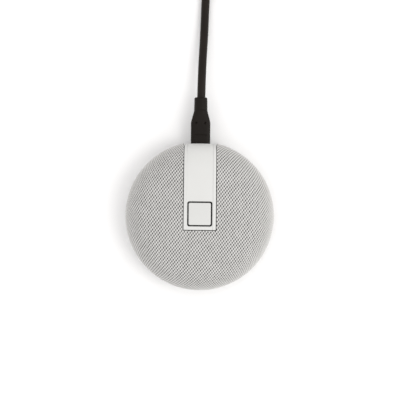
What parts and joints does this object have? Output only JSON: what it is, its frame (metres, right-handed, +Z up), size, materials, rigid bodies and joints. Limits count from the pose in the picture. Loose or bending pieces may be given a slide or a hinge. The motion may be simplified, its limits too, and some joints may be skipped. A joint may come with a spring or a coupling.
{
  "type": "smart speaker",
  "caption": "Round palm-sized smart speaker puck in grey mesh, with a top strap and square press button, a small driver inside and a detachable USB lead.",
  "frame": {"origin": "bottom centre of the puck, on the surface it stands on", "axes": "+Z up, +Y to the rear where the lead leaves, +X to the right seen from above with the lead at the top"},
  "size_m": [0.118, 0.26, 0.0333],
  "materials": {
    "cover_fabric": "light grey knitted acoustic mesh",
    "strap_plastic": "fine matte moulded, off-white",
    "button_plastic": "fine matte moulded, off-white",
    "smoked_plastic": "smoked translucent light pipe, unlit",
    "base_plastic": "fine matte moulded, light grey",
    "black_plastic": "matte black moulded",
    "chassis_plastic": "matte dark grey moulded",
    "foot_rubber": "matte dark grey silicone",
    "gasket_rubber": "soft black foam rubber",
    "surround_rubber": "satin black butyl",
    "screw_steel": "zinc plated",
    "ballast_steel": "stamped steel",
    "basket_metal": "dark plated steel",
    "magnet_nickel": "nickel plated neodymium",
    "shield_metal": "tin plated sheet",
    "plug_steel": "bright stainless sheet",
    "coil_copper": "copper winding on a former",
    "board_laminate": "green solder mask",
    "chip_epoxy": "matte black epoxy",
    "connector_plastic": "natural nylon",
    "capacitor_aluminium": "drawn aluminium can",
    "led_lens": "clear yellow-white LED resin",
    "flex_film": "amber polyimide film",
    "wire_insulation": "PVC wire insulation",
    "spider_cloth": "resin-treated cloth",
    "cone_paper": "black pressed paper",
    "plug_plastic": "matte black-brown overmould",
    "cord_jacket": "matte black thermoplastic jacket",
    "tie_fabric": "black hook-and-loop tape"
  },
  "bodies": {
    "housing": {"fabric_cover": "cover_fabric", "fabric_hem_ring": "black_plastic", "grille_frame": "black_plastic", "strap_cover": "strap_plastic", "status_light_ring": "smoked_plastic", "base_pan": "base_plastic", "foot_pad": "foot_rubber", "base_screws": "screw_steel", "main_board_screws": "screw_steel", "driver_screws": "screw_steel", "upper_board_screws": "screw_steel", "ballast_plate": "ballast_steel", "mid_chassis": "chassis_plastic", "main_board": "board_laminate", "upper_board": "board_laminate", "shield_can": "shield_metal", "board_chips": "chip_epoxy", "board_capacitors": "capacitor_aluminium", "speaker_connector": "connector_plastic", "flex_connectors": "connector_plastic", "wifi_antenna": "shield_metal", "usb_socket_shell": "plug_steel", "usb_socket_tongue": "connector_plastic", "port_gasket": "gasket_rubber", "status_leds": "led_lens", "tact_switch_body": "chip_epoxy", "mic_capsules": "shield_metal", "mic_gaskets": "gasket_rubber", "board_link_flex": "flex_film", "driver_gasket": "gasket_rubber", "driver_basket": "basket_metal", "driver_yoke": "basket_metal", "driver_magnet": "magnet_nickel", "driver_pole_plate": "basket_metal", "driver_surround": "surround_rubber", "driver_spider": "spider_cloth", "driver_leads": "wire_insulation"},
    "button": {"button_cap": "button_plastic", "switch_plunger": "connector_plastic"},
    "cone": {"driver_cone": "cone_paper", "driver_dust_cap": "cone_paper", "voice_coil": "coil_copper"},
    "power_lead": {"plug_shell": "plug_steel", "plug_overmold": "plug_plastic", "plug_strain_relief": "plug_plastic", "power_cord": "cord_jacket", "cord_coil": "cord_jacket", "cord_tail": "cord_jacket", "coil_tie": "tie_fabric", "far_strain_relief": "plug_plastic", "far_plug_overmold": "plug_plastic", "far_plug_shell": "plug_steel", "far_plug_tongue": "connector_plastic"}
  },
  "joints": [
    {"name": "button_press", "type": "slide", "parent": "housing", "child": "button", "axis": [0, 0, -1], "range_m": [0, 0.0005], "stiffness_N_per_m": 1500},
    {"name": "cone_travel", "type": "slide", "parent": "housing", "child": "cone", "axis": [0, 0, 1], "range_m": [-0.0008, 0.0008], "stiffness_N_per_m": 1200, "deforming": ["driver_surround", "driver_spider"]},
    {"name": "lead_pull", "type": "slide", "parent": "housing", "child": "power_lead", "axis": [0, 1, 0], "range_m": [0, 0.009]}
  ]
}
